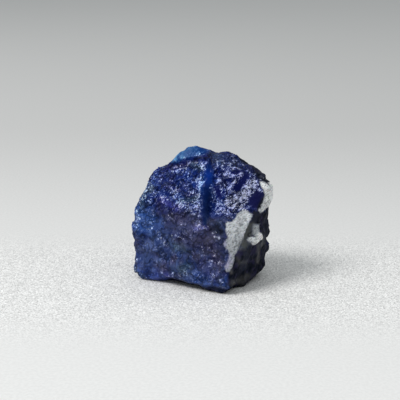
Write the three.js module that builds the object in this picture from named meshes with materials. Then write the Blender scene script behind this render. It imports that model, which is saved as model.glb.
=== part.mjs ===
// A rough, broken piece of massive afghanite: deep blue stone with white calcite grown through its
// right side. Millimetres, +Z up, standing on z = 0, with its broad lit faces towards -Y.
//
// The stone is star-shaped about its heart: along every direction out of the heart there is one
// surface point. Its distance comes from the fracture faces that bound the block, then ridges and
// grooves along short paths raise or sink it, and uneven breaking roughens it.
import * as THREE from "three";
import { ImprovedNoise } from "three/addons/math/ImprovedNoise.js";
import { mergeVertices } from "three/addons/utils/BufferGeometryUtils.js";

// Driving dimensions.
const HEART = new THREE.Vector3(0, 0, 11.5); // the point that every fracture face is placed from
const SURFACE_DETAIL = 17; // splits of each icosahedron edge, about 0.8 mm between vertices
const EDGE_CRISPNESS = 44; // the higher, the sharper the edges between fracture faces
const STONE_BLUE = 0x27305e;
const STONE_ROUGHNESS = 0.45;

// Fracture faces: the heading of the outward normal in degrees (0 is +X, -90 is the front, 90 the
// back), its lean above the horizontal in degrees, and the face's distance from the heart.
const FRACTURE_FACES = {
  front_lower_left: [-122, 4, 7.2],
  front_lower_middle: [-101, 0, 9.15],
  front_upper_left: [-119, 37, 6.7],
  front_upper_right: [-75, 28, 7.1],
  front_brow: [-62, 48, 9.3],
  left_front: [-147, 3, 10.95],
  left_shoulder: [-166, 36, 10.6],
  left_cheek: [-174, 12, 12.9],
  left_foot: [-170, -8, 13.2],
  left_back_upper: [150, 38, 11.9],
  left_back: [144, 6, 9.95],
  left_back_under: [128, -34, 12.2],
  right_corner: [-28, -2, 10.2],
  right_corner_under: [-33, -23, 11.7],
  right_side: [-14, -5, 11.75],
  right_under: [-22, -36, 13.3],
  right_back: [34, 8, 10.6],
  right_back_under: [48, -30, 12.4],
  back_upper: [72, 40, 10.4],
  back: [88, 5, 9.6],
  back_under: [104, -38, 11.8],
  top_slope_right: [-8, 58, 11.6],
  top: [-80, 80, 11.05],
  top_back: [118, 62, 11.2],
  top_slope_left: [170, 60, 11.35],
  under: [-95, -86, 12.3],
  under_front: [-120, -58, 13.35],
};

// Ridges (height above 0) and grooves (below 0): a path of points on the surface, the distance from
// it at which the form has died away to about a third, and how far it stands out or sinks in.
const FORMS = [
  {
    // the smooth cleft that splits the front from the brow to the middle
    path: [
      [1.4, -1.0, 21.6],
      [1.6, -3.4, 18.6],
      [1.1, -5.4, 15.2],
      [0.7, -7.6, 11.6],
    ],
    width: 0.8,
    height: -0.9,
  },
  {
    // the thin crest that stands up along the top left
    path: [
      [-4.4, 1.4, 21.9],
      [-2.0, 1.8, 22.8],
      [-0.4, 1.8, 23.7],
    ],
    width: 1.1,
    height: 1.0,
  },
  {
    // the step behind the crest, down to the level top
    path: [
      [1.7, 0.2, 22.8],
      [2.3, 3.2, 22.8],
    ],
    width: 0.9,
    height: -0.5,
  },
  {
    // the ledge between the steep lower front and the upper left slope
    path: [
      [-9.2, -2.2, 13.4],
      [-5.0, -4.8, 14.0],
      [-0.8, -7.6, 14.0],
    ],
    width: 1.2,
    height: 0.3,
  },
  {
    // the vein of calcite that rims the right shoulder
    path: [
      [10.6, -2.2, 17.0],
      [11.9, -1.2, 15.6],
      [11.1, -1.8, 13.4],
    ],
    width: 1.1,
    height: 0.8,
  },
  {
    // the nick above that vein
    path: [
      [11.4, -1.5, 17.8],
      [12.0, 4.0, 17.4],
    ],
    width: 0.9,
    height: -0.5,
  },
  {
    // the hollow below the vein, beside the calcite knob
    path: [
      [8.0, -7.0, 9.8],
      [9.4, -5.2, 11.4],
    ],
    width: 1.1,
    height: -0.8,
  },
  {
    // the calcite knob low on the right side
    path: [
      [8.9, -5.6, 9.0],
      [10.2, -4.2, 9.2],
    ],
    width: 1.0,
    height: 0.7,
  },
  {
    // the nick under the lump low on the right side
    path: [
      [11.4, 0.0, 3.9],
      [11.9, 2.8, 3.3],
    ],
    width: 0.9,
    height: -0.5,
  },
  {
    // the nick above that lump
    path: [
      [11.6, -0.5, 6.9],
      [12.1, 3.5, 6.5],
    ],
    width: 0.8,
    height: -0.6,
  },
  {
    // the swelling half way up the left side
    path: [
      [-12.0, 0.2, 9.2],
      [-11.8, 0.4, 11.6],
    ],
    width: 2.2,
    height: 0.5,
  },
  {
    // the toe at the foot of the left side
    path: [
      [-11.4, -1.0, 0.2],
      [-11.6, -0.8, 2.0],
    ],
    width: 1.6,
    height: 0.5,
  },
  {
    // the arch that lifts the lower front clear of the ground
    path: [
      [-6.8, -5.2, 0.0],
      [-4.2, -6.8, 0.0],
      [-1.2, -8.0, 0.0],
    ],
    width: 1.1,
    height: -0.6,
  },
];

// Uneven breaking, coarse to fine: the size of a lump, and the most it stands out or sinks in.
const UNEVENNESS = [
  { lump: 6.5, depth: 0.9 },
  { lump: 2.9, depth: 0.45 },
  { lump: 1.5, depth: 0.25 },
];

const noise = new ImprovedNoise();
const degrees = THREE.MathUtils.degToRad;

// The unit normal of a fracture face.
function normalOf([heading, lean]) {
  const across = Math.cos(degrees(lean));
  return new THREE.Vector3(
    across * Math.cos(degrees(heading)),
    across * Math.sin(degrees(heading)),
    Math.sin(degrees(lean)),
  );
}

const faces = Object.values(FRACTURE_FACES).map((face) => ({
  normal: normalOf(face),
  reach: face[2],
}));

// The distance to the block's surface along a direction: the nearest face, with softened edges.
function blockReach(direction) {
  const nearness = faces.reduce(
    (sum, { normal, reach }) =>
      sum + Math.max(normal.dot(direction) / reach, 0) ** EDGE_CRISPNESS,
    0,
  );
  return nearness ** (-1 / EDGE_CRISPNESS);
}

// How far a point is from a path of straight stretches.
function distanceToPath(point, path) {
  const nearest = new THREE.Vector3();
  let least = Infinity;
  for (let i = 0; i + 1 < path.length; i++) {
    new THREE.Line3(path[i], path[i + 1]).closestPointToPoint(point, true, nearest);
    least = Math.min(least, nearest.distanceTo(point));
  }
  return least;
}

const forms = FORMS.map((form) => ({
  ...form,
  path: form.path.map((corner) => new THREE.Vector3(...corner)),
}));

// A bell curve: 1 at no distance, about a third at one width.
const fade = (distance, width) => Math.exp(-((distance / width) ** 2));

// What the ridges and grooves add to the distance from the heart at a point.
function reliefAt(point) {
  let relief = 0;
  for (const { path, width, height } of forms) {
    relief += height * fade(distanceToPath(point, path), width);
  }
  return relief;
}

// What uneven breaking adds at a point.
function unevennessAt(point) {
  return UNEVENNESS.reduce(
    (sum, { lump, depth }) =>
      sum + depth * noise.noise(point.x / lump, point.y / lump, point.z / lump),
    0,
  );
}

// The surface point along a direction out of the heart, cut off level at the ground.
function surfacePoint(direction) {
  const point = direction.clone().multiplyScalar(blockReach(direction)).add(HEART);
  const rise = reliefAt(point) + unevennessAt(point);
  point.addScaledVector(direction, rise);
  if (point.z < 0) {
    point.copy(HEART).addScaledVector(direction, HEART.z / -direction.z);
    point.z = 0;
  }
  return point;
}

// The closed surface of the stone, with its origin at the middle of its foot.
function stoneGeometry() {
  const sphere = new THREE.IcosahedronGeometry(1, SURFACE_DETAIL);
  sphere.deleteAttribute("normal");
  sphere.deleteAttribute("uv");
  const geometry = mergeVertices(sphere, 1e-5);
  const position = geometry.attributes.position;
  const direction = new THREE.Vector3();
  for (let i = 0; i < position.count; i++) {
    direction.fromBufferAttribute(position, i).normalize();
    position.setXYZ(i, ...surfacePoint(direction));
  }
  geometry.computeBoundingBox();
  const centre = geometry.boundingBox.getCenter(new THREE.Vector3());
  geometry.translate(-centre.x, -centre.y, 0);
  geometry.computeVertexNormals();
  return geometry;
}

const stone = new THREE.Mesh(
  stoneGeometry(),
  new THREE.MeshStandardMaterial({
    color: STONE_BLUE,
    roughness: STONE_ROUGHNESS,
    metalness: 0,
  }),
);
stone.name = "stone";

const specimen = new THREE.Group();
specimen.add(stone);

export default specimen;
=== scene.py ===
"""A rough piece of afghanite: deep blue glinting grains, a smooth cleft, a pale crest, white calcite."""

import math

import bpy
import numpy as np
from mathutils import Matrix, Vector


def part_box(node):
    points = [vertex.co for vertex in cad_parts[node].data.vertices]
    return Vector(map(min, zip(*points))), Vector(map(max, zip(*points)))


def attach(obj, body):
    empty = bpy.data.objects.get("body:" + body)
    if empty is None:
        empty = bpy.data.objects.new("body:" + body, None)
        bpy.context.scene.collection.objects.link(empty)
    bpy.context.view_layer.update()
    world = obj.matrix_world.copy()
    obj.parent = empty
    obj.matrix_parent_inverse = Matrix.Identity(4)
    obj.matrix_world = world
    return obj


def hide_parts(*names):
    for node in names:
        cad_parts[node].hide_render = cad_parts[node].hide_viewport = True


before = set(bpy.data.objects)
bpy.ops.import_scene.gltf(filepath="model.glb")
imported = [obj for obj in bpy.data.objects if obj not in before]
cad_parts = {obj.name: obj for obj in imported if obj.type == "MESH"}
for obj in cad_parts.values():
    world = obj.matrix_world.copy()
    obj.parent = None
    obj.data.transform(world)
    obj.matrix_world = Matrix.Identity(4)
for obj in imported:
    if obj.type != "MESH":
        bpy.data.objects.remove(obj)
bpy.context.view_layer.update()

MM = 0.001
BASE_LOW, BASE_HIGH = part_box("stone")
HALF_WIDTH = (BASE_HIGH.x - BASE_LOW.x) / 2 / MM
TALL = (BASE_HIGH.z - BASE_LOW.z) / MM

# Which way patterns are drawn out: flakes on the upper right, silky folds on the lower front.
CLEAVAGE = (0.66, 0.20, 0.724)
FLOW = (0.92, 0.15, 0.36)


# ------------------------ patterns in space, in millimetres

# Large whole numbers that scatter the cells of a lattice, within words of 32 bits.
AXIS_SCATTER = np.array([73856093, 19349663, 83492791])
SEED_SCATTER = 912931
SHIFTS_AND_SCATTERS = [(13, 1274126177), (15, 668265263)]
LAST_SHIFT = 16
WORD = 0xFFFFFFFF
FRACTION = 0xFFFFFF

LUMP_GAIN = 1.6  # brings the hills of smooth noise up to about 1
CELL_SCATTER = 0.45  # how far a cell's centre lies from the middle of its cube, as a share of it
FACET_LIMIT = 1.6  # the most a facet rises or sinks, before its depth
FAR_AWAY = 1e9


def lattice_random(cells, seed):
    """One repeatable random number from 0 to 1 for each row of three whole numbers."""
    mixed = cells.astype(np.int64) @ AXIS_SCATTER + seed * SEED_SCATTER
    for shift, scatter in SHIFTS_AND_SCATTERS:
        mixed = (mixed ^ (mixed >> shift)) * scatter & WORD
    return ((mixed ^ (mixed >> LAST_SHIFT)) & FRACTION) / (FRACTION + 1)


def lattice_vectors(cells, seed):
    """A repeatable random vector for each row of whole numbers, each part from -1 to 1."""
    return np.stack([2 * lattice_random(cells, seed + axis) - 1 for axis in range(3)], axis=-1)


def lumps(places, size, seed):
    """Smooth noise from about -1 to 1, whose hills are about one size apart."""
    scaled = places / size
    corner = np.floor(scaled)
    inside = scaled - corner
    ease = inside * inside * (3 - 2 * inside)
    total = np.zeros(len(places))
    for step in np.ndindex(2, 2, 2):
        slope = lattice_vectors(corner + step, seed)
        share = np.prod(np.where(step, ease, 1 - ease), axis=1)
        total += share * ((inside - step) * slope).sum(axis=1)
    return LUMP_GAIN * total


def rough(places, size, seed, octaves=3):
    """Fractal noise: lumps, with finer and shallower lumps on them."""
    total = np.zeros(len(places))
    for octave in range(octaves):
        total += lumps(places, size / 2**octave, seed + 7 * octave) / 2**octave
    return total


def cell_centres(places, size, seed):
    """For each place, the centre of the cell that it is in."""
    scaled = places / size
    home = np.floor(scaled)
    nearest = np.full(len(places), FAR_AWAY)
    centre = np.zeros_like(places)
    for step in np.ndindex(3, 3, 3):
        cell = home + np.array(step) - 1
        candidate = cell + 0.5 + CELL_SCATTER * lattice_vectors(cell, seed)
        distance = np.linalg.norm(scaled - candidate, axis=1)
        nearer = distance < nearest
        nearest = np.where(nearer, distance, nearest)
        centre[nearer] = candidate[nearer]
    return centre * size


def facets(places, size, seed, hills):
    """A broken surface of flat facets, each lying along smooth noise at its own centre."""
    centre = cell_centres(places, size, seed)
    step = 0.25 * hills
    height = lumps(centre, hills, seed)
    away = places - centre
    for axis in np.eye(3):
        rise = (lumps(centre + step * axis, hills, seed) - height) / step
        height = height + rise * (away @ axis)
    return np.clip(height, -FACET_LIMIT, FACET_LIMIT)


def drawn_out(places, direction, streak):
    """Places squeezed along a direction, which draws patterns out along it."""
    return places - streak * np.outer(places @ np.array(direction), direction)


def smoothstep(low, high, values):
    """0 below low, 1 above high, and a soft rise between them."""
    t = np.clip((values - low) / (high - low), 0, 1)
    return t * t * (3 - 2 * t)


# ------------------------ marks on the front

# Places on the front are (across, up): across in half widths from the middle, up in heights from the
# ground. Outlines go round a mark. A stroke is a path with a reach, the millimetres at which it has
# faded to a third, and a strength.

# Calcite: the wedge, the rim of the right shoulder, and the knob under its stem.
WEDGE = [
    (0.34, 0.50), (0.42, 0.51), (0.48, 0.53), (0.49, 0.55), (0.57, 0.57), (0.65, 0.56),
    (0.70, 0.54), (0.64, 0.47), (0.57, 0.41), (0.53, 0.36), (0.48, 0.31), (0.44, 0.28),
    (0.43, 0.24), (0.42, 0.21), (0.38, 0.18), (0.34, 0.18), (0.31, 0.21), (0.35, 0.25),
    (0.39, 0.30), (0.34, 0.34), (0.30, 0.37), (0.35, 0.41), (0.33, 0.46),
]
RIM = [
    (0.81, 0.75), (0.87, 0.74), (0.94, 0.72), (1.10, 0.70), (1.12, 0.64), (1.08, 0.60),
    (1.00, 0.57), (0.90, 0.55), (0.80, 0.54), (0.78, 0.56), (0.83, 0.58), (0.88, 0.63),
    (0.89, 0.67), (0.84, 0.72),
]
KNOB = [
    (0.62, 0.37), (0.65, 0.39), (0.69, 0.39), (0.73, 0.38), (0.77, 0.40), (0.81, 0.39),
    (0.84, 0.37), (0.83, 0.34), (0.78, 0.35), (0.75, 0.33), (0.70, 0.33), (0.66, 0.35),
]
KNOB_STEM = [
    (0.73, 0.46), (0.80, 0.45), (0.80, 0.43), (0.78, 0.41), (0.76, 0.39), (0.72, 0.38), (0.71, 0.42),
]

# The hollow between the wedge and the knob, painted grey-green as calcite in shade.
RECESS = [
    (0.67, 0.49), (0.73, 0.47), (0.71, 0.43), (0.71, 0.40), (0.67, 0.38), (0.62, 0.37),
    (0.66, 0.34), (0.60, 0.32), (0.50, 0.33), (0.55, 0.39), (0.62, 0.44),
]
# Dark rock: between the calcite's rim and its knob, below the knob, and over the rim.
BLACK_GAP = [
    (0.70, 0.54), (0.72, 0.57), (0.79, 0.55), (0.93, 0.53), (1.08, 0.55), (1.10, 0.28), (0.96, 0.26),
    (0.87, 0.29), (0.84, 0.36), (0.80, 0.40), (0.80, 0.45), (0.73, 0.46), (0.68, 0.48),
]
FLANK = [
    (0.51, 0.33), (0.45, 0.29), (0.42, 0.25), (0.40, 0.21), (0.37, 0.18), (0.36, 0.16),
    (0.36, 0.10), (0.35, 0.05), (0.30, -0.02), (1.10, -0.02), (1.10, 0.30), (0.72, 0.32),
]
SHOULDER = [
    (0.66, 0.89), (0.80, 0.88), (0.95, 0.86), (1.12, 0.78), (1.10, 0.70), (0.95, 0.72),
    (0.86, 0.74), (0.80, 0.76), (0.77, 0.78), (0.72, 0.81), (0.66, 0.84),
]

# The pale blue crest along the top left.
CREST = [
    (-0.56, 0.86), (-0.46, 0.87), (-0.36, 0.88), (-0.28, 0.90), (-0.20, 0.92), (-0.09, 0.93), (0.05, 0.95),
    (0.12, 0.98), (0.02, 1.10), (-0.30, 1.10), (-0.60, 0.95),
]

# The cleft's middle line: across, up, half width in mm, and how brightly a painted blue glow shines there.
CLEFT = [
    (0.10, 0.90, 0.30, 0.03),
    (0.11, 0.86, 0.50, 0.20),
    (0.10, 0.81, 0.60, 0.95),
    (0.08, 0.77, 0.60, 0.60),
    (0.07, 0.72, 0.70, 0.06),
    (0.06, 0.67, 0.80, 0.03),
    (0.05, 0.62, 0.75, 0.01),
    (0.05, 0.56, 0.60, 0.01),
    (0.04, 0.51, 0.30, 0.03),
]

# Where painted glints crowd, and the painted highlights along the edges of flakes.
GLINTS = [
    ([(-0.49, 0.79), (-0.43, 0.81), (-0.33, 0.82), (-0.25, 0.84)], 0.22, 0.6),
    ([(-0.25, 0.84), (-0.20, 0.87), (-0.12, 0.88), (-0.03, 0.89), (0.02, 0.87), (0.05, 0.84)], 0.28, 0.9),
    ([(-0.17, 0.86), (-0.08, 0.87)], 0.50, 0.5),
    ([(-0.51, 0.72), (-0.46, 0.70), (-0.40, 0.66)], 0.32, 0.6),
    ([(-0.43, 0.68), (-0.30, 0.70)], 0.30, 0.4),
    ([(-0.05, 0.77), (-0.02, 0.76), (-0.03, 0.70), (-0.07, 0.66)], 0.60, 1.0),
    ([(-0.04, 0.68), (0.01, 0.66), (-0.09, 0.58)], 0.50, 0.6),
    ([(-0.35, 0.62), (-0.18, 0.60)], 0.50, 0.9),
    ([(0.10, 0.34), (0.16, 0.31), (0.20, 0.26)], 0.30, 0.5),
    ([(-0.52, 0.06), (-0.40, 0.10)], 0.40, 0.5),
    ([(-0.57, 0.64), (-0.55, 0.61)], 0.38, 0.9),
    ([(-0.83, 0.66), (-0.72, 0.69), (-0.67, 0.66)], 0.45, 0.8),
    ([(-0.94, 0.52), (-0.89, 0.48)], 0.60, 1.0),
    ([(0.14, 0.90), (0.21, 0.91), (0.23, 0.88), (0.19, 0.86)], 0.26, 0.7),
    ([(0.31, 0.86), (0.38, 0.88), (0.47, 0.86)], 0.28, 0.7),
    ([(0.33, 0.82), (0.38, 0.82)], 0.32, 1.0),
    ([(0.42, 0.85), (0.48, 0.86), (0.55, 0.85)], 0.22, 1.0),
    ([(0.64, 0.71), (0.67, 0.70)], 0.25, 1.3),
    ([(0.37, 0.81), (0.38, 0.83)], 0.25, 1.3),
    (
        [(0.33, 0.72), (0.38, 0.73), (0.43, 0.75), (0.46, 0.77), (0.47, 0.79), (0.51, 0.80), (0.57, 0.82)],
        0.20,
        1.1,
    ),
    ([(0.15, 0.72), (0.19, 0.66), (0.23, 0.65)], 0.45, 0.7),
    ([(0.25, 0.78), (0.28, 0.75)], 0.35, 0.5),
    ([(0.22, 0.58), (0.32, 0.58), (0.38, 0.56)], 0.60, 1.0),
    ([(0.21, 0.62), (0.34, 0.62)], 0.50, 0.9),
    ([(0.46, 0.66), (0.59, 0.66), (0.60, 0.70), (0.72, 0.74)], 0.50, 0.9),
    ([(0.28, 0.88), (0.34, 0.85), (0.41, 0.88)], 0.45, 0.8),
    ([(0.33, 0.59), (0.51, 0.67), (0.69, 0.73), (0.77, 0.75)], 0.50, 0.6),
    ([(-0.08, 0.47), (-0.04, 0.51), (0.02, 0.49)], 0.65, 0.9),
    ([(0.14, 0.44), (0.19, 0.45)], 0.28, 0.9),
    ([(0.17, 0.42), (0.25, 0.41)], 0.28, 1.0),
    ([(-0.60, 0.37), (-0.58, 0.34), (-0.54, 0.32)], 0.60, 0.7),
    ([(-0.45, 0.38), (-0.37, 0.395), (-0.31, 0.39), (-0.22, 0.36)], 0.14, 0.9),
    ([(-0.78, 0.40), (-0.74, 0.41), (-0.71, 0.41)], 0.16, 1.0),
    ([(0.15, 0.21), (0.22, 0.18), (0.26, 0.10)], 0.60, 0.6),
    ([(0.14, 0.14), (0.05, 0.13), (0.00, 0.08)], 0.70, 0.4),
    ([(0.10, 0.08), (0.24, 0.04)], 0.60, 0.4),
    ([(-0.15, 0.09), (-0.05, 0.07)], 0.60, 0.3),
    ([(0.15, 0.14), (0.22, 0.16)], 0.50, 0.7),
    ([(-0.26, 0.91), (-0.20, 0.925)], 0.22, 0.7),
    ([(-0.07, 0.94), (0.02, 0.95)], 0.30, 0.7),
]

# Where the stone is dark and has few pale marks.
QUIET = [
    ([(-0.62, 0.80), (-0.46, 0.86), (-0.33, 0.87), (-0.22, 0.90), (0.06, 0.93)], 0.45, 1.0),
    ([(-0.50, 0.83), (-0.44, 0.84)], 0.60, 0.8),
    ([(0.16, 0.80), (0.22, 0.76)], 0.60, 0.7),
    ([(0.16, 0.62), (0.20, 0.56)], 0.45, 0.6),
    ([(0.50, 0.71), (0.62, 0.76)], 0.40, 0.8),
    ([(0.31, 0.78), (0.38, 0.78), (0.44, 0.77)], 0.25, 0.9),
    ([(-0.61, 0.62), (-0.56, 0.55)], 0.60, 0.8),
    ([(-0.18, 0.75), (-0.10, 0.80)], 0.60, 0.6),
    ([(0.13, 0.47), (0.22, 0.48), (0.27, 0.44)], 0.80, 1.0),
    ([(-0.92, 0.19), (-0.72, 0.21)], 0.80, 0.8),
    ([(-0.62, 0.46), (-0.52, 0.42), (-0.40, 0.46)], 0.80, 0.8),
    ([(-0.50, 0.56), (-0.42, 0.62)], 0.50, 0.6),
]

# The silvery band on the upper right, where painted glints crowd on its grains.
SILVER = [
    (0.30, 0.65), (0.39, 0.69), (0.51, 0.70), (0.61, 0.73), (0.69, 0.77), (0.79, 0.77), (0.81, 0.72),
    (0.74, 0.68), (0.65, 0.64), (0.58, 0.58), (0.48, 0.57), (0.36, 0.60),
]

# Smooth facets: the darkest one beside the silvery band, and calmer ones.
DARK_FACET = [
    (0.77, 0.70), (0.87, 0.69), (0.88, 0.65), (0.86, 0.61), (0.79, 0.57), (0.70, 0.58), (0.66, 0.64),
]
CALM_FACETS = [
    [
        (0.41, 0.72), (0.48, 0.76), (0.51, 0.78), (0.56, 0.81),
        (0.67, 0.82), (0.66, 0.79), (0.60, 0.75), (0.54, 0.71),
    ],
    [(0.43, 0.82), (0.48, 0.84), (0.55, 0.84), (0.55, 0.82), (0.49, 0.81)],
    [(0.16, 0.74), (0.25, 0.73), (0.28, 0.66), (0.22, 0.64)],
]

# Small ridges (above 0) and dents (below 0): the strength is the rise in millimetres.
RELIEF = [
    ([(0.33, 0.72), (0.45, 0.76)], 0.35, 0.25),
    ([(0.47, 0.79), (0.57, 0.82)], 0.35, 0.22),
    ([(0.62, 0.73), (0.74, 0.70)], 0.45, 0.18),
    ([(-0.50, 0.78), (-0.25, 0.84)], 0.35, 0.18),
    ([(-0.20, 0.87), (0.03, 0.87)], 0.35, 0.18),
    ([(-0.33, 0.64), (-0.20, 0.60)], 0.60, 0.18),
    ([(-0.06, 0.50), (-0.02, 0.47)], 0.55, 0.25),
    ([(-0.59, 0.35), (-0.54, 0.33)], 0.60, 0.18),
    ([(-0.49, 0.29), (-0.25, 0.27)], 0.35, -0.25),
    ([(-0.70, 0.21), (-0.54, 0.20)], 0.40, -0.25),
    ([(-0.48, 0.43), (-0.43, 0.42)], 0.35, -0.20),
    ([(-0.98, 0.29), (-0.72, 0.31)], 0.35, -0.22),
    ([(0.18, 0.71), (0.28, 0.65)], 0.50, -0.20),
    ([(-0.97, 0.52), (-0.99, 0.42)], 1.60, 0.40),
    ([(0.76, 0.86), (0.90, 0.81)], 1.10, 0.45),
    ([(0.92, 0.22), (0.96, 0.19)], 0.70, -0.50),
    ([(0.38, 0.93), (0.55, 0.90)], 1.00, -0.35),
    ([(-0.52, 0.90), (-0.42, 0.93)], 0.80, 0.60),
    ([(0.80, 0.09), (0.62, 0.03)], 1.20, 0.80),
    ([(0.30, 0.02), (0.48, 0.03)], 1.20, 0.50),
    ([(0.24, 0.47), (0.27, 0.40)], 0.60, -0.25),
    ([(0.68, 0.36), (0.73, 0.35)], 0.60, 0.55),
    ([(0.79, 0.38), (0.81, 0.36)], 0.50, 0.50),
    ([(0.77, 0.45), (0.75, 0.40)], 0.45, 0.35),
    ([(0.84, 0.75), (0.94, 0.70)], 0.55, 0.35),
    ([(0.96, 0.69), (0.98, 0.62)], 0.55, 0.35),
    ([(0.94, 0.59), (0.80, 0.54)], 0.55, 0.30),
    ([(0.68, 0.53), (0.53, 0.37)], 0.45, 0.20),
]

# The notch over the rim, which goes on round the right edge of the stone.
NOTCH = ([(0.98, 0.77), (1.06, 0.72)], 0.80, -0.80)

# Soft borders of the front: how far back it ends, in mm, and how far a face there turns backwards.
FRONT_BACK = (1.6, 2.1)
FRONT_TURN = (0.3, 0.6)

EDGE_LUMP = 0.9  # the size in mm of the wanderings of an outline's edge
FADE_LUMP = 0.8  # the same for a stroke's
FADE_UNEVENNESS = 0.8
CLEFT_LUMP = 1.3
CLEFT_RAGGEDNESS = 0.60
CLEFT_SIDES = (0.3, 2.0)  # where the cleft begins to end and ends, in its own half widths


def in_front(places, normals):
    """1 on the front half of the stone, 0 behind, with a ragged border."""
    depth = places[:, 1] + 1.1 * rough(places, 2.5, 8)
    return (1 - smoothstep(*FRONT_BACK, depth)) * (1 - smoothstep(*FRONT_TURN, normals[:, 1]))


def front_mm(place):
    """A place on the front as millimetres to the right of the middle and up from the ground."""
    return np.array([place[0] * HALF_WIDTH, place[1] * TALL])


def along_stretch(flat, start, end):
    """How far along a straight stretch each place is, from 0 to 1, and how far from it, in mm."""
    begin = front_mm(start)
    along = front_mm(end) - begin
    away = flat - begin
    share = np.clip(away @ along / (along @ along), 0, 1)
    return share, np.linalg.norm(away - share[:, None] * along, axis=1)


def outline_mask(places, outline, seed, softness=0.12, raggedness=0.22):
    """1 inside an outline on the front and 0 outside, with an edge that wanders."""
    flat = places[:, [0, 2]]
    distance = np.full(len(flat), FAR_AWAY)
    inside = np.zeros(len(flat), dtype=bool)
    for start, end in zip(outline, outline[1:] + outline[:1]):
        _, apart = along_stretch(flat, start, end)
        distance = np.minimum(distance, apart)
        (x0, z0), (x1, z1) = front_mm(start), front_mm(end)
        straddles = (z0 > flat[:, 1]) != (z1 > flat[:, 1])
        climb = (z1 - z0) or 1  # no place straddles a level side
        crossing = x0 + (flat[:, 1] - z0) / climb * (x1 - x0)
        inside ^= straddles & (flat[:, 0] < crossing)
    depth = np.where(inside, distance, -distance) + raggedness * rough(places, EDGE_LUMP, seed)
    return smoothstep(-softness, softness, depth)


def stroke_fade(places, path, reach, seed):
    """1 along a path on the front, fading away from it unevenly."""
    flat = places[:, [0, 2]]
    distance = np.min([along_stretch(flat, *stretch)[1] for stretch in zip(path, path[1:])], axis=0)
    unevenness = 1 + FADE_UNEVENNESS * lumps(places, FADE_LUMP, seed)
    return np.exp(-((distance / reach) ** 2) * unevenness)


def cleft_masks(places):
    """How much each place lies in the cleft, and how brightly its painted glow shines there."""
    flat = places[:, [0, 2]]
    wander = CLEFT_RAGGEDNESS * rough(places, CLEFT_LUMP, 21)
    mask = np.zeros(len(flat))
    glow = np.zeros(len(flat))
    for first, second in zip(CLEFT, CLEFT[1:]):
        share, distance = along_stretch(flat, first[:2], second[:2])
        width = first[2] + share * (second[2] - first[2])
        here = 1 - smoothstep(*CLEFT_SIDES, distance / width + wander)
        glow = np.where(here > mask, first[3] + share * (second[3] - first[3]), glow)
        mask = np.maximum(mask, here)
    return mask, glow


# ------------------------ the stone's mesh

VOXEL = 0.16 * MM  # the size of the mesh's faces: smaller ones would pass 200,000 triangles
SHAPE_SMOOTHING = 6  # rounds, enough to hide the flat faces of the CAD model
NORMAL_SMOOTHING = 12


def in_scene(name, data):
    """A new object in the scene."""
    thing = bpy.data.objects.new(name, data)
    bpy.context.scene.collection.objects.link(thing)
    return thing


def dense_copy(source):
    """A mesh object with even small faces, over the surface of a CAD node."""
    dense = in_scene("stone_surface", source.data.copy())
    remesh = dense.modifiers.new("even faces", "REMESH")
    remesh.mode = "VOXEL"
    remesh.voxel_size = VOXEL
    bpy.context.view_layer.update()
    evaluated = dense.evaluated_get(bpy.context.evaluated_depsgraph_get())
    remeshed = bpy.data.meshes.new_from_object(evaluated)
    dense.modifiers.clear()
    dense.data = remeshed
    return dense


def rows_of(items, key, width, kind=float):
    """One property of all of a mesh's vertices, normals or edges, as rows of numbers."""
    flat = np.empty(len(items) * width, dtype=kind)
    items.foreach_get(key, flat)
    return flat.reshape(-1, width)


def set_vertex_points(surface, places):
    """Moves a mesh's vertices to rows of millimetres."""
    surface.vertices.foreach_set("co", (places * MM).ravel())
    surface.update()


def smoothed(values, edges, rounds):
    """Each row moved half way to the mean of its neighbours, round after round."""
    a, b = edges[:, 0], edges[:, 1]
    count = np.bincount(a, minlength=len(values)) + np.bincount(b, minlength=len(values))
    values = values.copy()
    for _ in range(rounds):
        for column in range(values.shape[1]):
            total = np.bincount(a, values[b, column], len(values))
            total += np.bincount(b, values[a, column], len(values))
            values[:, column] += 0.5 * (total / count - values[:, column])
    return values


stone = dense_copy(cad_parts["stone"])
mesh = stone.data
ends = rows_of(mesh.edges, "vertices", 2, np.int64)
base = smoothed(rows_of(mesh.vertices, "co", 3) / MM, ends, SHAPE_SMOOTHING)
set_vertex_points(mesh, base)
normals = smoothed(rows_of(mesh.vertex_normals, "vector", 3), ends, NORMAL_SMOOTHING)
normals /= np.linalg.norm(normals, axis=1)[:, None]

across = base[:, 0] / HALF_WIDTH
level = base[:, 2]
up = level / TALL


# ------------------------ what each point of the surface is

# Soft borders: where a region begins to end, or to begin, and where it has. Places are in mm, and a
# face's turning is the part of its unit normal that points that way.
CREST_BACK = (3.0, 4.6)
VEIN_SIDES = (0.02, 0.05)  # in steps of the noise whose level a vein follows
FILM_TOP = (12.5, 14.5)
FILM_TURN = (0.2, 0.6)
ROCK_TURN = (0.60, 0.76)
ROCK_LEAN = (0.0, 0.5)
ROCK_CORNER = 0.45  # half widths to the right of the middle, where the rock's border lies behind

# Masks hold a number from 0 to 1 for each point of the smooth shape.
front = in_front(base, normals)
behind = 1 - front


def front_mask(outline, seed, **edge):
    """1 inside an outline, cut short behind."""
    return front * outline_mask(base, outline, seed, **edge)


def patches(size, seed, low, high, octaves=3):
    """Ragged patches all over the stone, fading in where fractal noise passes from low to high."""
    return smoothstep(low, high, rough(base, size, seed, octaves))


def stroke_total(places, strokes, seed):
    """The sum of the fading strengths of strokes on the front, each cut short behind."""
    total = np.zeros(len(places))
    for i, (path, reach, strength) in enumerate(strokes):
        total += strength * stroke_fade(places, path, reach, seed + i)
    return front * total


def crest_mask():
    """The pale blue crest, which ends in a ragged border on the top."""
    mask = outline_mask(base, CREST, 31, softness=0.45, raggedness=0.2)
    return mask * (1 - smoothstep(*CREST_BACK, base[:, 1] + 1.2 * rough(base, 2.5, 32)))


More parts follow.
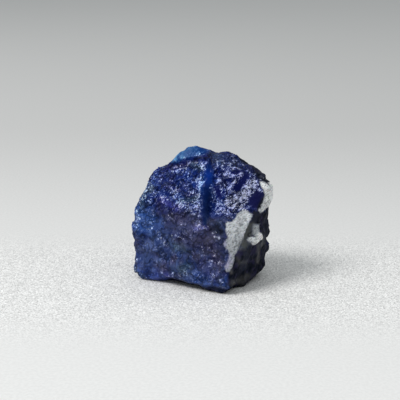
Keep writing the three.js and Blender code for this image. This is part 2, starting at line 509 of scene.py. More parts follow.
def hidden_calcite():
    """Thin veins and a few spots of calcite on the sides that the photo doesn't show."""
    lines = 1 - smoothstep(*VEIN_SIDES, np.abs(rough(base, 11.0, 17, octaves=5) + 0.1))
    stretches = smoothstep(0.0, 0.2, lumps(base, 6.0, 19))
    spots = patches(7.5, 18, 0.42, 0.47, octaves=5)
    return behind * np.maximum(lines * stretches, spots) * (1 - crest)


def dark_rock_and_right_shade_mask():
    """The near-black rock of the right side, which goes on round the corner behind, and painted shade on
    faces that turn right, away from the window.
    """
    # Painted shade: faces that turn right, away from the window, are made near-black.
    facing_right = smoothstep(*ROCK_TURN, normals[:, 0] + 0.06 * rough(base, 2.0, 42))
    facing_right *= 1 - smoothstep(*ROCK_LEAN, normals[:, 2])
    outlined = [
        front_mask(outline, 45 + i, softness=0.3)
        for i, outline in enumerate([BLACK_GAP, SHOULDER, FLANK])
    ]
    border = across - ROCK_CORNER + 0.35 * rough(base, 6.0, 43, octaves=5)
    round_corner = behind * smoothstep(0.0, 0.1, border)
    return np.maximum.reduce([facing_right, *outlined, round_corner]) * (1 - calcite)


wedge = front_mask(WEDGE, 3, raggedness=0.2)
rim = front_mask(RIM, 5, raggedness=0.18)
knob = front_mask(KNOB, 9, raggedness=0.18)
stem = front_mask(KNOB_STEM, 10, softness=0.3, raggedness=0.15)
crest = crest_mask()
calcite = np.maximum.reduce([wedge, rim, knob, stem, hidden_calcite()])
recess = front_mask(RECESS, 11, softness=0.5) * (1 - calcite)
cleft, glow = cleft_masks(base)
cleft *= front
silver = front_mask(SILVER, 13, softness=0.5, raggedness=0.5)
dark_facet = front_mask(DARK_FACET, 14, softness=0.3, raggedness=0.3)
calm = np.maximum.reduce([
    front_mask(outline, 15 + i, softness=0.3, raggedness=0.3)
    for i, outline in enumerate(CALM_FACETS)
])
lower = 1 - smoothstep(*FILM_TOP, level + 0.8 * rough(base, 3.0, 41))
film_and_sheen = smoothstep(*FILM_TURN, -normals[:, 1]) * lower  # the duller lower front, which is given a painted sheen of the pale floor
dark_rock_and_right_shade = dark_rock_and_right_shade_mask()


# ------------------------ relief, in millimetres

# Facets from coarse to fine: their size, the size of the hills that they follow, how deep they are,
# how much of that depth they lose on the top, and the share of it that they lose on the dark rock.
FACETS = [
    (3.4, 5.0, 0.30, 0.14, 0.0),
    (1.5, 2.6, 0.26, 0.0, 0.4),
    (0.62, 1.0, 0.11, 0.0, 0.7),
]
GRAIN_SIZE = 0.5
GRAIN_DEPTH = 0.03

# The shares of the facets' depth that smoother places lose.
CLEFT_SMOOTHNESS = 0.85
CALM_SMOOTHNESS = 0.7
GREATEST_SMOOTHNESS = 0.95
FILM_SMOOTHNESS = 0.3
CALCITE_SMOOTHNESS = 0.6

# Silky folds in the film.
FOLD_SIZE = 1.0
FOLD_DEPTH = 0.14
FOLD_STREAK = 0.75

CALCITE_RISE = 0.04
CALCITE_FACETS = [(1.6, 2.4, 0.10), (0.5, 0.8, 0.03)]  # size, size of the hills, depth
RECESS_DEPTH = 0.25
CLEFT_RISE = 0.25  # fills much of the CAD model's groove
CLEFT_RISE_ON_TOP = 0.35
TOP_LEVEL = (20.0, 22.0)  # where the front ends and the top begins
FOOT_HEIGHT = 0.6  # below this the bumps shrink, so that the stone meets the ground evenly
FOOT_SMOOTHNESS = 0.6

# The overhang along the foot of the front: its upper border in mm, which arches between the left
# and the right, its left border and the arch's borders in half widths, and how far back it reaches.
UNDERCUT_TOP = (0.30, 1.30)
UNDERCUT_LEFT = (-0.66, -0.50)
UNDERCUT_BACK = 2.0
ARCH_RISE = 0.4
ARCH_LEFT = (-0.62, -0.48)
ARCH_RIGHT = (0.30, 0.45)

# The share of its distance from the middle that the foot is drawn in: on the left, and how much
# less it is past the middle and past the right end of the arch.
UNDERCUT_DEPTH = 0.18
LOSS_PAST_MIDDLE = 0.09
LOSS_PAST_ARCH = 0.06
# How much of the dark rock's near-black the overhang takes, as painted shade.
UNDERCUT_PAINTED_SHADE = 0.9


def facet_relief(on_top):
    """The broken facets all over the stone, smoother where the stone is smooth."""
    height = np.zeros(len(base))
    for i, (size, hills, depth, top_loss, rock_loss) in enumerate(FACETS):
        layer = (depth - top_loss * on_top) * (1 - rock_loss * dark_rock_and_right_shade)
        height += layer * facets(base, size, 101 + i, hills)
    height += GRAIN_DEPTH * rough(base, GRAIN_SIZE, 104)
    smoothness = CLEFT_SMOOTHNESS * cleft + crest + CALM_SMOOTHNESS * (calm + dark_facet)
    height *= 1 - np.clip(smoothness, 0, GREATEST_SMOOTHNESS)
    height *= 1 - FILM_SMOOTHNESS * film_and_sheen
    height += FOLD_DEPTH * film_and_sheen * rough(drawn_out(base, FLOW, FOLD_STREAK), FOLD_SIZE, 105)
    return height * (1 - CALCITE_SMOOTHNESS * calcite)


def calcite_relief():
    """How far the calcite stands out, with facets of its own."""
    height = np.full(len(base), CALCITE_RISE)
    for i, (size, hills, depth) in enumerate(CALCITE_FACETS):
        height += depth * facets(base, size, 111 + i, hills)
    return calcite * height


def relief():
    """How far each point moves out along its normal."""
    on_top = smoothstep(*TOP_LEVEL, level)
    height = facet_relief(on_top) + stroke_total(base, RELIEF, 140)
    notch_path, notch_reach, notch_rise = NOTCH
    height += notch_rise * stroke_fade(base, notch_path, notch_reach, 130)
    height += calcite_relief() - RECESS_DEPTH * recess
    height += (CLEFT_RISE + CLEFT_RISE_ON_TOP * on_top) * cleft
    near_ground = 1 - smoothstep(0.0, FOOT_HEIGHT, level)
    return height - FOOT_SMOOTHNESS * near_ground * np.maximum(height, 0)


def undercut_mask(places):
    """How much each place belongs to the overhang along the foot of the front."""
    share = places[:, 0] / HALF_WIDTH
    arch = smoothstep(*ARCH_LEFT, share) * (1 - smoothstep(*ARCH_RIGHT, share))
    above = places[:, 2] - ARCH_RISE * arch + 0.30 * rough(base, 1.8, 121)
    mask = 1 - smoothstep(*UNDERCUT_TOP, above)
    mask *= smoothstep(-1.0, 1.0, UNDERCUT_BACK - places[:, 1] + rough(base, 5.0, 122))
    return mask * smoothstep(*UNDERCUT_LEFT, share)


def undercut_depth(places):
    """The share of its distance from the middle that each place of the foot is drawn in."""
    share = places[:, 0] / HALF_WIDTH
    past_middle = LOSS_PAST_MIDDLE * smoothstep(-0.30, 0.0, share)
    return UNDERCUT_DEPTH - past_middle - LOSS_PAST_ARCH * smoothstep(0.30, 0.50, share)


points = base + normals * relief()[:, None]
points[:, 2] = np.maximum(points[:, 2], 0)
undercut = undercut_mask(points)
points[:, :2] *= (1 - undercut_depth(points) * undercut)[:, None]
set_vertex_points(mesh, points)
# Painted shade: the overhang along the foot is made near-black, as the dark rock is.
rock_and_painted_shade = np.maximum(dark_rock_and_right_shade, UNDERCUT_PAINTED_SHADE * undercut * (1 - calcite))


# ------------------------ colours over the stone

INDIGO = (0.002, 0.010, 0.100)
ULTRAMARINE = (0.004, 0.018, 0.140)
VIOLET_BLACK = (0.008, 0.008, 0.058)
FILM_SHEEN_GREY = (0.011, 0.020, 0.080)
FILM_BROWN = (0.015, 0.015, 0.054)
DUSK_VIOLET = (0.024, 0.022, 0.064)
SLATE = (0.018, 0.036, 0.135)
BRIGHT_BLUE = (0.008, 0.038, 0.190)
VIOLET_BLUE = (0.024, 0.026, 0.180)
TOE_BLUE = (0.028, 0.055, 0.250)
TEAL = (0.018, 0.045, 0.095)
CHARCOAL = (0.002, 0.003, 0.006)
DARK_SLATE = (0.020, 0.022, 0.034)
ROCK_VIOLET = (0.018, 0.016, 0.040)
DUST_AND_SHEEN_GREY = (0.130, 0.128, 0.125)
NAVY = (0.004, 0.006, 0.070)
TOP_TEAL = (0.036, 0.062, 0.130)
LOBE_BLUE = (0.003, 0.006, 0.072)
SILVER_BLUE = (0.006, 0.009, 0.045)
LAVENDER_BLUE = (0.016, 0.020, 0.100)
CLEFT_NAVY = (0.001, 0.008, 0.060)
CLEFT_BLUE = (0.002, 0.026, 0.230)
GLOW_BLUE = (0.010, 0.060, 0.300)
CREST_BLUE = (0.003, 0.034, 0.170)
PAINTED_GLOW_CYAN = (0.08, 0.23, 0.45)
CALCITE_WHITE = (0.66, 0.68, 0.71)
KNOB_WHITE = (0.98, 0.99, 0.99)
CALCITE_GREY = (0.30, 0.32, 0.34)
LAVENDER_EDGE = (0.33, 0.32, 0.50)
RECESS_PAINTED_SHADE = (0.115, 0.12, 0.115)

# Broad changes of colour on the blue stone.
TINTS = [
    (BRIGHT_BLUE, [(-0.92, 0.54), (-0.72, 0.47)], 1.6, 0.9),
    (BRIGHT_BLUE, [(-0.92, 0.42), (-0.72, 0.38)], 1.4, 0.75),
    (VIOLET_BLUE, [(-0.63, 0.05), (-0.47, 0.07)], 0.8, 0.9),
    (BRIGHT_BLUE, [(-0.05, 0.09), (0.28, 0.10)], 1.6, 0.5),
    (SLATE, [(-0.65, 0.38), (-0.50, 0.38)], 1.0, 0.8),
    (SLATE, [(-0.96, 0.15), (-0.73, 0.18)], 1.3, 0.8),
    (SLATE, [(-0.85, 0.27), (-0.60, 0.30)], 1.2, 0.6),
    (TEAL, [(-0.37, 0.31), (-0.25, 0.31)], 0.8, 0.8),
    (TEAL, [(-0.28, 0.15), (-0.20, 0.18)], 0.9, 0.7),
    (TEAL, [(-0.95, 0.07), (-0.88, 0.04)], 0.7, 0.6),
    (TOE_BLUE, [(-0.86, 0.08), (-0.75, 0.05), (-0.60, 0.05)], 0.9, 0.8),
    (FILM_BROWN, [(-0.40, 0.53), (-0.10, 0.50)], 1.8, 0.8),
    (FILM_BROWN, [(-0.24, 0.37), (0.10, 0.36)], 1.8, 0.7),
    (TOP_TEAL, [(0.22, 0.93), (0.55, 0.89)], 1.0, 0.9),
    (VIOLET_BLACK, [(-0.62, 0.60), (-0.56, 0.55)], 0.8, 0.8),
    (VIOLET_BLACK, [(-0.54, 0.83), (-0.07, 0.89)], 0.45, 0.9),
    (VIOLET_BLACK, [(-0.05, 0.93), (0.10, 0.92)], 0.5, 0.6),
    (CHARCOAL, [(0.13, 0.47), (0.22, 0.48), (0.27, 0.44)], 0.7, 0.85),
    (VIOLET_BLUE, [(-0.07, 0.48), (0.03, 0.49)], 0.6, 0.8),
    (VIOLET_BLUE, [(-0.58, 0.62), (-0.43, 0.60), (-0.32, 0.59)], 0.5, 0.7),
    (TEAL, [(-0.12, 0.87), (0.00, 0.85)], 0.5, 0.6),
    (GLOW_BLUE, [(0.03, 0.80), (0.01, 0.73)], 0.5, 0.7),
    (TEAL, [(-0.85, 0.58), (-0.82, 0.65), (-0.72, 0.69)], 0.7, 0.7),
    (TEAL, [(-0.27, 0.64), (-0.07, 0.66)], 0.5, 0.6),
    (LAVENDER_BLUE, [(0.02, 0.22), (0.18, 0.12)], 1.4, 0.7),
    (DUSK_VIOLET, [(0.06, 0.40), (0.24, 0.24)], 1.7, 0.6),
]

# Paler dust, and a painted grey sheen, on the dark side.
DUST_AND_SHEEN = [
    ([(0.42, 0.09), (0.54, 0.06), (0.62, 0.09)], 0.50, 0.45),
    ([(0.86, 0.34), (0.86, 0.28)], 0.35, 0.80),
    ([(0.79, 0.30), (0.81, 0.22), (0.79, 0.16)], 0.35, 0.55),
    ([(0.37, 0.22), (0.41, 0.17)], 0.30, 0.60),
    ([(0.49, 0.27), (0.53, 0.23), (0.62, 0.21)], 0.40, 0.30),
]

# The strokes that light or shade one kind of stone only: a path and a reach.
CREST_PAINTED_GLOW = ([(-0.50, 0.87), (-0.42, 0.89), (-0.32, 0.92)], 0.75)
RIM_PAINTED_HIGHLIGHT = ([(1.00, 0.67), (1.03, 0.62)], 0.7)
KNOB_SHADE = ([(0.62, 0.36), (0.67, 0.35)], 0.6)
WEDGE_EDGE_UPPER = ([(0.31, 0.44), (0.31, 0.34)], 0.35)
WEDGE_EDGE_LOWER = ([(0.37, 0.28), (0.34, 0.21)], 0.5)


def plain(colour):
    """One colour at every point."""
    return np.tile(np.array(colour), (len(base), 1))


def layered(colours, layers):
    """The colours at each point after other colours are laid over them in turn, each by a share."""
    for share, colour in layers:
        colours = colours + share[:, None] * (np.asarray(colour) - colours)
    return colours


def film_sheen_tint():
    """The duller lower front: a grey-blue painted sheen of the pale floor, with brownish and slate
    patches.
    """
    return layered(plain(FILM_SHEEN_GREY), [
        (patches(2.2, 203, -0.2, 0.5), FILM_BROWN),
        (patches(1.6, 204, 0.15, 0.6), SLATE),
    ])


def blue_tint():
    """The blue stone: clouds of blue and violet-black, then the marks and regions of the front."""
    tint = layered(plain(INDIGO), [
        (patches(3.2, 201, -0.15, 0.5), ULTRAMARINE),
        (0.7 * patches(4.0, 202, 0.1, 0.7), VIOLET_BLACK),
        (0.9 * film_and_sheen, film_sheen_tint()),
    ])
    tint = layered(tint, [
        (strength * front * stroke_fade(base, path, reach, 210 + i), colour)
        for i, (colour, path, reach, strength) in enumerate(TINTS)
    ])
    tint *= (1 + 0.30 * np.clip(rough(base, 1.3, 230), -1, 1))[:, None]
    return layered(tint, [
        (0.75 * upper_right, LOBE_BLUE),
        (0.8 * silver, SILVER_BLUE),
        (0.85 * calm, NAVY),
        (0.85 * dark_facet, VIOLET_BLACK),
    ])


def rock_tint():
    """The near-black rock, also laid as painted shade, with slate and violet patches, a little dust and a
    painted sheen.
    """
    tint = layered(plain(CHARCOAL), [
        (patches(2.2, 205, -0.1, 0.6), DARK_SLATE),
        (patches(1.4, 206, 0.1, 0.5), ROCK_VIOLET),
    ])
    return layered(tint, [
        (strength * stroke_fade(base, path, reach, 240 + i), DUST_AND_SHEEN_GREY)
        for i, (path, reach, strength) in enumerate(DUST_AND_SHEEN)
    ])


def crest_painted_glow():
    """Painted glow of light through the thin crest: palest at its left end and along its upper rim, where
    it faces up.
    """
    upper_rim = smoothstep(0.4, 0.8, normals[:, 2]) * (1 - smoothstep(-0.25, 0.0, across))
    light = np.clip(stroke_fade(base, *CREST_PAINTED_GLOW, 33) + 0.5 * upper_rim, 0, 1)
    return light * patches(1.2, 34, -0.6, 0.3) * smoothstep(0.2, 0.8, crest)


def calcite_tint():
    """White calcite: greyer in chalky patches and low on the rim, painted shade low on the wedge, a
    painted highlight on the rim, lavender along the wedge's left.
    """
    # A painted highlight makes the middle of the rim whiter.
    whiteness = np.maximum(knob, rim * (0.8 + 0.2 * stroke_fade(base, *RIM_PAINTED_HIGHLIGHT, 224)))
    left_edge = np.maximum(
        stroke_fade(base, *WEDGE_EDGE_UPPER, 222), stroke_fade(base, *WEDGE_EDGE_LOWER, 223)
    )
    return layered(plain(CALCITE_WHITE), [
        (0.6 * patches(1.8, 221, -0.1, 0.7), CALCITE_GREY),
        # Painted shade: the wedge greyer low down.
        (0.75 * wedge * (1 - smoothstep(0.30, 0.46, up)), CALCITE_GREY),
        (whiteness, KNOB_WHITE),
        (0.2 * rim * (1 - smoothstep(0.57, 0.63, up)), CALCITE_GREY),
        (0.35 * stem * (1 - knob), CALCITE_GREY),
        (0.5 * knob * stroke_fade(base, *KNOB_SHADE, 225), CALCITE_GREY),
        (0.8 * np.clip(left_edge, 0, 1), LAVENDER_EDGE),
    ])


upper_right = smoothstep(0.10, 0.30, across + 0.15 * rough(base, 2.0, 302)) * (1 - film_and_sheen)
tint = layered(blue_tint(), [
    (0.95 * rock_and_painted_shade, rock_tint()),
    (0.9 * crest, CREST_BLUE),
    (crest_painted_glow(), PAINTED_GLOW_CYAN),
    (cleft, CLEFT_NAVY),
    (cleft * glow, CLEFT_BLUE),
    (0.9 * recess, RECESS_PAINTED_SHADE),
    (calcite, calcite_tint()),
])


# ------------------------ how many pale marks, much of them painted glints, each point has

SILVER_CROWDS = 0.55
# The shares of their pale marks that places lose.
QUIET_LOSS = 0.85
BEHIND_LOSS = 0.3


def glint_crowds():
    """Where painted white glints crowd."""
    crowds = SILVER_CROWDS * silver
    for i, (path, reach, strength) in enumerate(GLINTS):
        crowds = np.maximum(crowds, strength * front * stroke_fade(base, path, reach, 310 + i))
    return crowds


def paleness_on_blue(crowds):
    """How pale the marks, much of them painted glints, are on the blue stone."""
    brow = smoothstep(0.05, 0.20, across) * smoothstep(0.80, 0.86, up)
    quiet = np.clip(stroke_total(points, QUIET, 350), 0, 1)
    paleness = 0.88 + 0.5 * upper_right + 0.6 * silver - 0.52 * film_and_sheen + 0.3 * crowds - 0.7 * brow
    paleness *= 0.6 + 0.9 * patches(1.8, 301, -0.4, 0.6)
    paleness *= 1 - 0.5 * film_and_sheen * patches(3.0, 303, 0.0, 0.5)
    return paleness * (1 - QUIET_LOSS * quiet * (1 - crowds)) * (1 - BEHIND_LOSS * behind)


def share_left(crowds):
    """The share of the pale marks that smooth, dark and white places keep."""
    losses = [
        0.9 * calm * (1 - crowds),
        0.9 * dark_facet,
        0.75 * crest * (1 - crowds),
        0.85 * rock_and_painted_shade,
        calcite,
        0.8 * recess,
        0.9 * cleft,
    ]
    return np.prod([1 - loss for loss in losses], axis=0)


def keep(name, values):
    """Stores one number, or one colour, for each of the mesh's vertices."""
    if values.ndim == 1:
        attribute = mesh.attributes.new(name, "FLOAT", "POINT")
        attribute.data.foreach_set("value", values.astype(np.float32))
    else:
        attribute = mesh.attributes.new(name, "FLOAT_COLOR", "POINT")
        opaque = np.concatenate([values, np.ones((len(values), 1))], axis=1)
        attribute.data.foreach_set("color", opaque.astype(np.float32).ravel())


crowds = glint_crowds()
kept_share = share_left(crowds)
keep("tint", tint)
keep("crowds", crowds * kept_share)
keep("paleness", paleness_on_blue(crowds) * kept_share)
keep("streaky", upper_right)
keep("polish", np.maximum.reduce([cleft, 0.8 * crest, 0.7 * calm, dark_facet, rock_and_painted_shade]))
keep("calcite", calcite)
keep("film_and_sheen", film_and_sheen * (1 - rock_and_painted_shade) * (1 - recess) * (1 - calcite))
keep("dull", rock_and_painted_shade)
mesh.polygons.foreach_set("use_smooth", [True] * len(mesh.polygons))


# ------------------------ the stone's material


class Shading:
    """Adds nodes to one material. Sockets and plain values can both be passed as inputs."""

    def __init__(self, name):
        self.material = bpy.data.materials.new(name)
        self.material.use_nodes = True
        self.tree = self.material.node_tree
        self.tree.nodes.clear()
        self.coordinates = self.add("ShaderNodeTexCoord").outputs["Object"]

    def add(self, kind, inputs=None, **settings):
        node = self.tree.nodes.new(kind)
        for key, value in settings.items():
            setattr(node, key, value)
        for key, value in (inputs or {}).items():
            if isinstance(value, bpy.types.NodeSocket):
                self.tree.links.new(value, node.inputs[key])
            else:
                node.inputs[key].default_value = value
        return node

    def attribute(self, name, output="Fac"):
        return self.add("ShaderNodeAttribute", attribute_name=name).outputs[output]

    def math(self, operation, a, b):
        return self.add("ShaderNodeMath", {0: a, 1: b}, operation=operation).outputs[0]

    def total(self, *values):
        """The sum of some numbers."""
        return self.chained("ADD", values)

    def product(self, *values):
        return self.chained("MULTIPLY", values)

    def chained(self, operation, values):
        """Each value in turn joined to what came before it by one operation."""
        result = values[0]
        for value in values[1:]:
            result = self.math(operation, result, value)
        return result

    def ramp(self, value, low, high, start=0.0, end=1.0):
        """start where value is at low, end where it is at high, with a soft change between."""
        return self.add(
            "ShaderNodeMapRange",
            {"Value": value, "From Min": low, "From Max": high, "To Min": start, "To Max": end},
            interpolation_type="SMOOTHSTEP",
        ).outputs["Result"]

    def vector(self, operation, a, b=(0.0, 0.0, 0.0)):
        key = "Scale" if operation == "SCALE" else 1
        return self.add("ShaderNodeVectorMath", {0: a, key: b}, operation=operation).outputs[0]

    def shifted(self, seed):
        """The object's coordinates moved, so that patterns of one kind don't fall together."""
        return self.vector("ADD", self.coordinates, (0.013 * seed, 0.029 * seed, 0.017 * seed))

    def drawn_out(self, place, streak, direction=CLEAVAGE):
        """A place squeezed along a direction, which draws patterns out along it."""
        along = self.add(
            "ShaderNodeVectorMath", {0: place, 1: direction}, operation="DOT_PRODUCT"
        ).outputs["Value"]
        line = self.vector("SCALE", direction, self.math("MULTIPLY", along, -streak))
        return self.vector("ADD", place, line)

    def noise_at(self, place, size, **inputs):
        """A node of smooth noise with hills about size millimetres apart."""
        inputs = {"Vector": place, "Scale": 1 / (size * MM)} | inputs
        return self.add("ShaderNodeTexNoise", inputs)

    def noise(self, size, seed, detail=3.0, streak=0.0, direction=CLEAVAGE):
        """Smooth noise from 0 to 1, drawn out along a direction by a streak."""
        place = self.drawn_out(self.shifted(seed), streak, direction)
        return self.noise_at(place, size, Detail=detail).outputs["Fac"]

    def contour(self, size, seed, count, width, streak=0.0):
        """Thin curling lines, 1 on the line: where smooth noise passes each of some even levels."""
        level = self.math("MULTIPLY", self.noise(size, seed, 2.0, streak), count)
        away = self.math("SUBTRACT", self.math("FRACT", level, 0.0), 0.5)
        return self.ramp(self.math("ABSOLUTE", away, 0.0), 0.4 * width, width, 1.0, 0.0)

    def cells(self, size, seed, bend, streak=0.0):
        """The colours of cells about size millimetres across, with edges that bend by millimetres."""
        place = self.drawn_out(self.shifted(seed), streak)
        swirl = self.noise_at(place, 1.5 * size, Detail=2.0).outputs["Color"]
        offset = self.vector("SCALE", self.centred(swirl), bend * MM)
        inputs = {"Vector": self.vector("ADD", place, offset), "Scale": 1 / (size * MM)}
        return self.add("ShaderNodeTexVoronoi", inputs).outputs["Color"]

    def centred(self, colour):
        """A colour as a vector whose parts lie evenly about 0."""
        return self.vector("SUBTRACT", colour, (0.5, 0.5, 0.5))

    def mix(self, share, a, b, blend_type="MIX"):
        inputs = {0: share, 6: a, 7: b}
        settings = {"data_type": "RGBA", "blend_type": blend_type, "clamp_result": True}
        return self.add("ShaderNodeMix", inputs, **settings).outputs[2]

    def number_mix(self, share, a, b):
        return self.add("ShaderNodeMix", {0: share, 2: a, 3: b}, data_type="FLOAT").outputs[0]

    def grey(self, value):
        return self.add("ShaderNodeCombineColor", {0: value, 1: value, 2: value}).outputs[0]

    def separate(self, colour):
        return self.add("ShaderNodeSeparateColor", {0: colour}).outputs

    def finish(self, shader):
        self.add("ShaderNodeOutputMaterial", {"Surface": shader.outputs[0]})
        return self.material


# Grains, in millimetres.
GRAIN = {"size": 0.34, "seed": 1, "bend": 0.25}
FINE_GRAIN = {"size": 0.18, "seed": 2, "bend": 0.06, "streak": 0.5}
GRAIN_TILT = 0.3
FINE_GRAIN_TILT = 0.35

# Thin lines along even levels of smooth noise: the noise's size in millimetres, how many levels it
# has, how wide a line is as a share of the step between levels, and how far it is drawn out.
CURLS = [(1.1, 2.6, 0.09, 0.0), (0.8, 2.4, 0.08, 0.0)]
STREAKS = [(0.9, 2.8, 0.12, 0.75), (0.7, 2.4, 0.11, 0.6)]

# Creases are painted lit where the noise rises towards the light over a short step.
CREASE_STEP = 0.06 * MM
TOWARDS_LIGHT = (-0.6, -0.3, 0.75)
CREASE_SLOPE = (0.01, 0.11)

EYE = 2.2  # the power by which the eye evens out lightness
PALEST = 0.68
CRISPNESS = 1.35


def paled(s, colour, amount):
    """A colour made paler by the same amount in each channel, as the eye sees it, so its hue stays."""
    seen = s.add("ShaderNodeGamma", {"Color": colour, "Gamma": 1 / EYE}).outputs[0]
    seen = s.mix(1.0, seen, s.grey(amount), "ADD")
    return s.add("ShaderNodeGamma", {"Color": seen, "Gamma": EYE}).outputs[0]


def line_pair(s, lines, seed, scale):
    """Two kinds of thin line together, 1 on the line."""
    kinds = [
        s.contour(size * scale, seed + i, levels, width, streak)
        for i, (size, levels, width, streak) in enumerate(lines)
    ]
    return s.math("MAXIMUM", *kinds)


def pale_lines(s, streaky, seed, scale):
    """Thin lines: curls on some of the stone, streaks along the cleavage on the rest."""
    curls = line_pair(s, CURLS, seed, scale)
    streaks = line_pair(s, STREAKS, seed + len(CURLS), scale)
    return s.number_mix(streaky, curls, streaks)


def creases(s, size, seed, streak=0.0):
    """Painted light on fine creases, from 0 to 1: high where they rise towards the upper left."""
    place = s.drawn_out(s.shifted(seed), streak)
    heights = []
    for side in (1, -1):
        step = s.vector("ADD", place, tuple(side * CREASE_STEP * part for part in TOWARDS_LIGHT))
        heights.append(s.noise_at(step, size, Detail=4.0, Roughness=0.6).outputs["Fac"])
    return s.ramp(s.math("SUBTRACT", *heights), *CREASE_SLOPE)


def lit_grit(s, fine, streaky):
    """Pale grains, and painted light on creases that face the light."""
    grit = s.ramp(s.noise(0.65, 46, 2.0), 0.35, 0.65, 0.12, 1.0)
    grains = s.product(s.math("POWER", fine[0], 6.0), 0.9, grit)
    lit = s.math("MAXIMUM", creases(s, 0.36, 40), s.product(creases(s, 0.8, 44, 0.6), streaky))
    return grains, s.product(lit, 0.33, grit)


def pale_marks(s, fine, streaky, crowds):
    """How pale each place is: pale grains and thin lines, much of them painted glints, and painted light
    on creases.
    """
    grains, lit = lit_grit(s, fine, streaky)
    patchy = s.total(s.noise(0.9, 24, 3.0), s.product(crowds, 0.2))
    lines = s.product(
        pale_lines(s, streaky, 20, 0.7),
        s.ramp(patchy, 0.40, 0.58),
        s.ramp(fine[1], 0.0, 1.0, 0.22, 0.75),
    )
    return s.total(grains, s.math("MAXIMUM", lit, lines))


def glints(s, fine, streaky, crowds):
    """Painted glints: short bright pieces of line, where they crowd."""
    gate = s.ramp(s.noise(0.5, 7, 3.0, streak=0.4), 0.40, 0.58)
    strength = s.ramp(fine[2], 0.0, 1.0, 0.25, 1.05)
    return s.product(crowds, gate, s.product(pale_lines(s, streaky, 30, 0.5), strength))


def film_marks(s, film_and_sheen):
    """Soft clouds and silky folds on the duller lower front."""
    clouds = s.ramp(s.noise(1.6, 50, 4.0), 0.35, 0.65, 0.00, 0.08)
    folds = s.ramp(s.noise(1.1, 51, 3.0, streak=0.75, direction=FLOW), 0.42, 0.62, 0.0, 0.06)
    return s.product(film_and_sheen, s.total(clouds, folds))


def stone_colour(s, fine, polish, calcite, film_and_sheen):
    """The colours held by the mesh, cracked and grained, then paled by the marks: pale grains, painted
    glints and painted light on creases.
    """
    streaky = s.attribute("streaky")
    crowds = s.attribute("crowds")
    crack = s.product(s.contour(1.6, 12, 1.0, 0.06), s.ramp(polish, 0.0, 0.5, 0.55, 0.0))
    crack = s.math("SUBTRACT", 1.0, crack)
    silky = s.ramp(s.noise(0.6, 60, 4.0, streak=0.6), 0.3, 0.7, 0.84, 1.14)
    silky = s.product(silky, s.ramp(fine[0], 0.0, 1.0, 0.48, 1.34))
    texture = s.mix(calcite, s.grey(crack), s.grey(silky))
    colour = s.mix(1.0, s.attribute("tint", "Color"), texture, "MULTIPLY")

    marks = s.product(pale_marks(s, fine, streaky, crowds), s.attribute("paleness"), crack)
    marks = s.total(marks, glints(s, fine, streaky, crowds))
    marks = s.product(s.math("POWER", marks, CRISPNESS), CRISPNESS)
    marks = s.total(marks, film_marks(s, film_and_sheen), s.ramp(crowds, 0.5, 1.0, 0.0, 0.12))
    return paled(s, colour, s.math("MINIMUM", marks, PALEST))


def stone_roughness(s, grain, calcite, film_and_sheen):
    """Grains from smooth to rougher: duller on the film and the calcite, dullest on the rock."""
    return s.total(
        s.ramp(s.separate(grain)[1], 0.0, 1.0, 0.10, 0.30),
        s.product(film_and_sheen, 0.15),
        s.product(calcite, 0.25),
        s.product(s.attribute("dull"), 0.5),
    )


def stone_normal(s, grain, fine_grain, polish, calcite):
    """Each grain tilts its own way, less so where the stone is smooth."""
    tilt = s.vector(
        "ADD",
        s.vector("SCALE", s.centred(grain), GRAIN_TILT),
        s.vector("SCALE", s.centred(fine_grain), FINE_GRAIN_TILT),
    )
    smoothness = s.math("MAXIMUM", polish, s.product(calcite, 0.6))
    tilt = s.vector("SCALE", tilt, s.ramp(smoothness, 0.0, 1.0, 1.0, 0.12))
    surface = s.add("ShaderNodeNewGeometry").outputs["Normal"]
    return s.vector("NORMALIZE", s.vector("ADD", surface, tilt))


def stone_material():
    s = Shading("afghanite and calcite")
    polish = s.attribute("polish")
    calcite = s.attribute("calcite")
    film_and_sheen = s.attribute("film_and_sheen")
    grain = s.cells(**GRAIN)
    fine_grain = s.cells(**FINE_GRAIN)
    shader = s.add(
        "ShaderNodeBsdfPrincipled",
        {
            "Base Color": stone_colour(s, s.separate(fine_grain), polish, calcite, film_and_sheen),
            "Roughness": stone_roughness(s, grain, calcite, film_and_sheen),
            "Normal": stone_normal(s, grain, fine_grain, polish, calcite),
            "IOR": 1.53,
            "Specular IOR Level": 0.08,
            "Specular Tint": (0.50, 0.62, 1.0, 1.0),
            "Subsurface Weight": 0.1,
            "Subsurface Radius": (0.3, 0.6, 1.6),
            "Subsurface Scale": 1.0 * MM,
        },
    )
    return s.finish(shader)


mesh.materials.clear()
mesh.materials.append(stone_material())
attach(stone, "root")
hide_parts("stone")


# ------------------------ camera, floor and light

AIM = Vector((-0.027 * HALF_WIDTH, 0.0, 0.598 * TALL)) * MM
CAMERA_ELEVATION = math.radians(14)
CAMERA_DISTANCE = 180 * MM
LENS = 90
SENSOR_WIDTH = 36

FLOOR_REACH = 6.0  # metres: far enough that its edge isn't seen
PAPER_TONE = (1.0, 0.985, 0.965)
PAPER_ROUGHNESS = 0.9

WINDOW_DIRECTION = (-0.62, -0.30, 0.80)
WINDOW_DISTANCE = 900 * MM
WINDOW_SIZE = 430 * MM
WINDOW_POWER = 5.0
ROOM_TONE = (0.93, 0.98, 1.0, 1.0)
ROOM_LEVEL_STRENGTH = 0.14
ROOM_OVERHEAD_STRENGTH = 0.80


def add_camera():
    data = bpy.data.cameras.new("camera")
    data.lens = LENS
    data.sensor_width = SENSOR_WIDTH
    camera = in_scene("camera", data)
    away = Vector((0, -math.cos(CAMERA_ELEVATION), math.sin(CAMERA_ELEVATION)))
    camera.location = AIM + CAMERA_DISTANCE * away
    camera.rotation_euler = (-away).to_track_quat("-Z", "Y").to_euler()
    bpy.context.scene.camera = camera


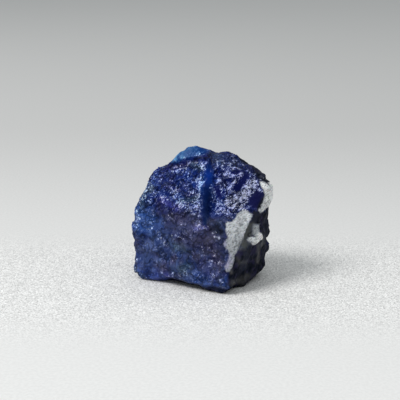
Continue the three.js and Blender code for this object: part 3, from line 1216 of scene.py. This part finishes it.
def floor_material():
    """White paper: soft patches all over, speckle near the stone, and painted shade that makes it darker
    far behind it.
    """
    s = Shading("floor paper")
    away = s.add("ShaderNodeSeparateXYZ", {0: s.coordinates}).outputs["Y"]
    close = s.product(s.ramp(away, -40 * MM, -12 * MM), s.ramp(away, 8 * MM, 35 * MM, 1.0, 0.0))
    speckle = s.product(s.math("SUBTRACT", s.noise(0.22, 2, 1.0), 0.5), close, 1.5)
    tone = s.total(s.ramp(s.noise(0.5, 1, 5.0), 0.3, 0.7, 0.80, 0.86), speckle)
    # Painted shade: the paper darkens far behind, where less of the window's light would fall.
    tone = s.product(tone, s.ramp(away, -70 * MM, 170 * MM, 1.0, 0.72))
    paper = s.vector("MULTIPLY", s.grey(tone), PAPER_TONE)
    inputs = {"Base Color": paper, "Roughness": PAPER_ROUGHNESS}
    return s.finish(s.add("ShaderNodeBsdfPrincipled", inputs))


def add_floor():
    corners = [
        (x * FLOOR_REACH, y * FLOOR_REACH, 0) for x, y in [(-1, -1), (1, -1), (1, 1), (-1, 1)]
    ]
    paper = bpy.data.meshes.new("floor")
    paper.from_pydata(corners, [], [(0, 1, 2, 3)])
    paper.materials.append(floor_material())
    floor = in_scene("floor", paper)


def add_window():
    """A large round soft light, up on the left and a little in front."""
    data = bpy.data.lights.new("window", "AREA")
    data.shape = "DISK"
    data.size = WINDOW_SIZE
    data.energy = WINDOW_POWER
    window = in_scene("window", data)
    away = Vector(WINDOW_DIRECTION).normalized()
    window.location = AIM + WINDOW_DISTANCE * away
    window.rotation_euler = away.to_track_quat("Z", "Y").to_euler()


def add_world():
    """A plain soft room, brighter overhead than at the level of the floor."""
    world = bpy.data.worlds.new("room")
    world.use_nodes = True
    tree = world.node_tree
    background = tree.nodes["Background"]
    background.inputs["Color"].default_value = ROOM_TONE
    direction = tree.nodes.new("ShaderNodeTexCoord").outputs["Generated"]
    parts = tree.nodes.new("ShaderNodeSeparateXYZ")
    strength = tree.nodes.new("ShaderNodeMapRange")
    strength.inputs["To Min"].default_value = ROOM_LEVEL_STRENGTH
    strength.inputs["To Max"].default_value = ROOM_OVERHEAD_STRENGTH
    tree.links.new(direction, parts.inputs[0])
    tree.links.new(parts.outputs["Z"], strength.inputs["Value"])
    tree.links.new(strength.outputs["Result"], background.inputs["Strength"])
    bpy.context.scene.world = world


add_camera()
add_floor()
add_window()
add_world()
bpy.context.scene.view_settings.view_transform = "Standard"
